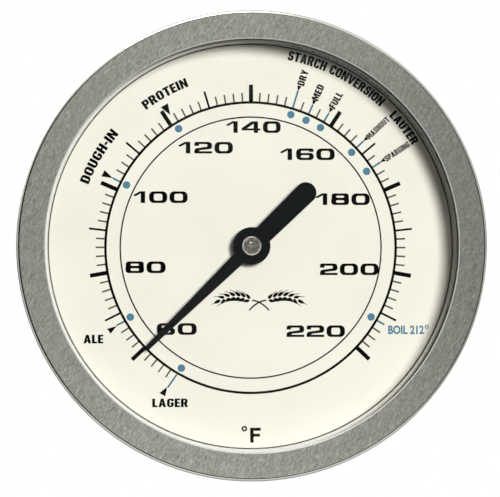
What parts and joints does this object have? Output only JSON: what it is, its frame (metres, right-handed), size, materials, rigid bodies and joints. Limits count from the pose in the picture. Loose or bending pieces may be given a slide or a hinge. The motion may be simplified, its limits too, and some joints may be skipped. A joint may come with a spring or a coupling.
{
  "type": "dial thermometer",
  "caption": "Round back-connected bimetal dial thermometer for a brewing kettle, with a stem, a tapered pipe thread, a turning pointer and a rear reset screw.",
  "frame": {"origin": "on the stem's axis, in the plane of the hex fitting's shoulder, where the fitting meets the kettle wall", "axes": "+Y along the stem towards its tip, the dial faces -Y, +Z is 12 o'clock, +X is 3 o'clock"},
  "size_m": [0.083, 0.0934, 0.083],
  "materials": {
    "brushed_bezel": "straight diagonal brushing on the flat face",
    "case_steel": "spun satin",
    "turned_steel": "fine turned",
    "tube_steel": "drawn tube, satin",
    "bright_ring": "bright rolled",
    "bright_plate": "nickel plated, turned",
    "spring_steel": "phosphated",
    "brass": "turned",
    "bimetal": "rolled strip",
    "black_paint": "matte black",
    "dial_cream": "satin cream enamel",
    "clear_glass": "clear",
    "black_rubber": "matte",
    "white_polymer": "PTFE"
  },
  "bodies": {
    "stem": {"hex_fitting": "turned_steel", "stem_tube": "tube_steel", "stem_tip_plug": "tube_steel", "guide_bush_front": "brass", "guide_bush_rear": "brass", "bimetal_coil": "bimetal", "seat_washer": "white_polymer", "hub_o_ring": "black_rubber", "thrust_washer": "brass", "reset_gear": "brass", "hub_retaining_ring": "spring_steel"},
    "pointer": {"pointer": "black_paint", "pointer_hub": "bright_plate", "pointer_shaft": "bright_plate", "coil_collar": "brass"},
    "case": {"case_back": "case_steel", "case_bush": "turned_steel", "dial_plate": "dial_cream", "spacer_ring": "bright_ring", "lens": "clear_glass", "lens_gasket": "black_rubber", "bezel_ring": "brushed_bezel", "reset_bush": "turned_steel"},
    "reset_screw": {"reset_screw": "turned_steel", "reset_pinion": "brass", "reset_o_ring": "black_rubber", "reset_clip": "spring_steel"}
  },
  "joints": [
    {"name": "pointer_turn", "type": "hinge", "parent": "stem", "child": "pointer", "pos_m": [0, 0, 0], "axis": [0, 1, 0], "range_deg": [-18, 270], "stiffness_Nm_per_rad": 0.0005, "deforming": ["bimetal_coil"]},
    {"name": "case_turn", "type": "hinge", "parent": "stem", "child": "case", "pos_m": [0, 0, 0], "axis": [0, 1, 0], "range_deg": [-15, 15]},
    {"name": "reset_screw_turn", "type": "hinge", "parent": "case", "child": "reset_screw", "pos_m": [0, 0, -0.017], "axis": [0, 1, 0], "range_deg": [-70.5, 70.5]}
  ],
  "couplings": [
    {"joint": "reset_screw_turn", "follows": "case_turn", "ratio": 4.6667}
  ]
}
